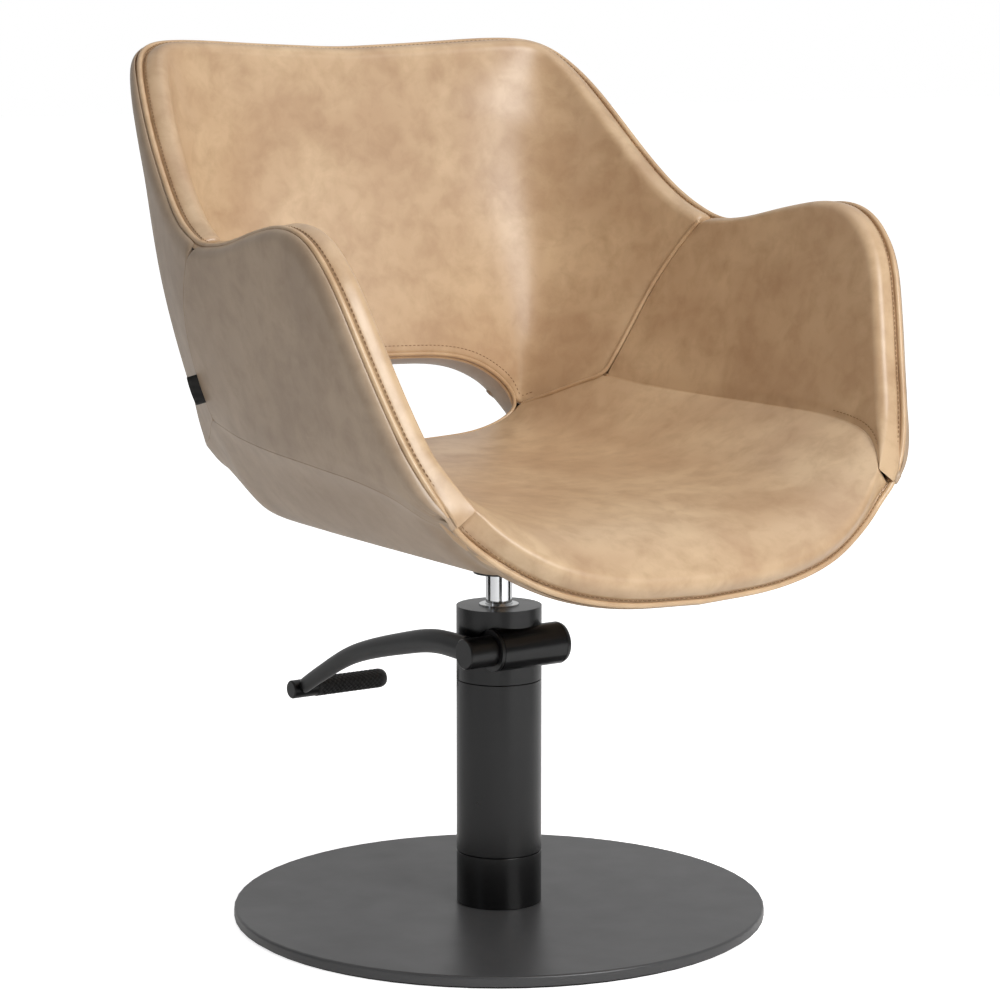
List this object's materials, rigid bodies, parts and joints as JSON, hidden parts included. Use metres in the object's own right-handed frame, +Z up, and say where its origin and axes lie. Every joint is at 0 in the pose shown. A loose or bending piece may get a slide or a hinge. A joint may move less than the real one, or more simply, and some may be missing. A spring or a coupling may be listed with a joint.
{
  "type": "styling chair",
  "caption": "Tan upholstered bucket seat with an open lumbar slot, turning on a foot-pumped hydraulic column with a round disc base.",
  "frame": {"origin": "on the floor, under the column's axis", "axes": "+Z up along the column; the sitter faces -Y, so +X is the sitter's left hand and the foot lever is behind, at +Y"},
  "size_m": [0.6282, 0.6215, 0.8209],
  "materials": {
    "tan_leatherette": "soft semi-gloss coated leatherette, tan, lightly mottled",
    "tan_piping": "the same tan leatherette over a round cord",
    "moulded_shell": "unpainted dark moulded shell, hidden under the upholstery",
    "black_powder_coat": "semi-gloss black powder coat on steel",
    "satin_black_disc": "satin dark grey-black coat",
    "chromed_steel": "bright chrome",
    "zinc_plated_steel": "zinc plated",
    "machined_steel": "plain machined steel",
    "sintered_bronze": "sintered bronze",
    "black_rubber": "matte black rubber",
    "woven_tag": "blank black woven tag"
  },
  "bodies": {
    "base": {"anti_slip_sheet": "black_rubber", "base_disc": "satin_black_disc", "base_screw_1": "zinc_plated_steel", "base_screw_2": "zinc_plated_steel", "base_screw_3": "zinc_plated_steel", "base_screw_4": "zinc_plated_steel", "pump_foot": "machined_steel", "base_collar": "black_powder_coat", "pump_housing": "black_powder_coat", "pump_head": "black_powder_coat", "gland_ring": "chromed_steel", "pressure_cylinder": "machined_steel", "pump_block": "machined_steel", "check_ball": "machined_steel", "plunger_spring": "machined_steel", "shaft_bush_left": "sintered_bronze", "shaft_bush_right": "sintered_bronze", "barrel_ring": "black_powder_coat", "barrel_cap": "black_powder_coat"},
    "piston": {"piston_cup": "black_rubber", "piston_rod": "chromed_steel"},
    "seat": {"seat_socket": "black_powder_coat", "thrust_washer": "sintered_bronze", "mounting_plate": "black_powder_coat", "seat_bolt_1": "zinc_plated_steel", "seat_bolt_2": "zinc_plated_steel", "seat_bolt_3": "zinc_plated_steel", "seat_bolt_4": "zinc_plated_steel", "insert_nut_1": "zinc_plated_steel", "insert_nut_2": "zinc_plated_steel", "insert_nut_3": "zinc_plated_steel", "insert_nut_4": "zinc_plated_steel", "bucket_shell": "moulded_shell", "back_pad": "tan_leatherette", "seat_pad": "tan_leatherette", "arm_pad_left": "tan_leatherette", "arm_pad_right": "tan_leatherette", "outer_back_cover": "tan_leatherette", "underside_cover": "tan_leatherette", "outer_side_cover_left": "tan_leatherette", "outer_side_cover_right": "tan_leatherette", "rim_piping": "tan_piping", "slot_piping": "tan_piping", "crease_piping_left": "tan_piping", "crease_piping_right": "tan_piping", "side_tag": "woven_tag"},
    "lever": {"lever_shaft": "machined_steel", "lever_hub": "black_powder_coat", "lever_arm": "black_powder_coat", "pedal_rod": "black_powder_coat", "pedal_grip": "black_rubber"},
    "plunger": {"plunger": "machined_steel"}
  },
  "joints": [
    {"name": "lift", "type": "slide", "parent": "base", "child": "piston", "axis": [0, 0, 1], "range_m": [0, 0.14]},
    {"name": "swivel", "type": "hinge", "parent": "piston", "child": "seat", "pos_m": [0, 0, 0.3253], "axis": [0, 0, 1], "continuous": true},
    {"name": "lever_press", "type": "hinge", "parent": "base", "child": "lever", "pos_m": [0, -0.034, 0.2603], "axis": [-1, 0, 0], "range_deg": [0, 22], "stiffness_Nm_per_rad": 6, "springref_deg": -14.32},
    {"name": "plunger_push", "type": "slide", "parent": "base", "child": "plunger", "axis": [0, 0, -1], "range_m": [0, 0.0042], "deforming": ["plunger_spring"]}
  ],
  "couplings": [
    {"joint": "plunger_push", "follows": "lever_press", "m_per_rad": 0.01}
  ]
}
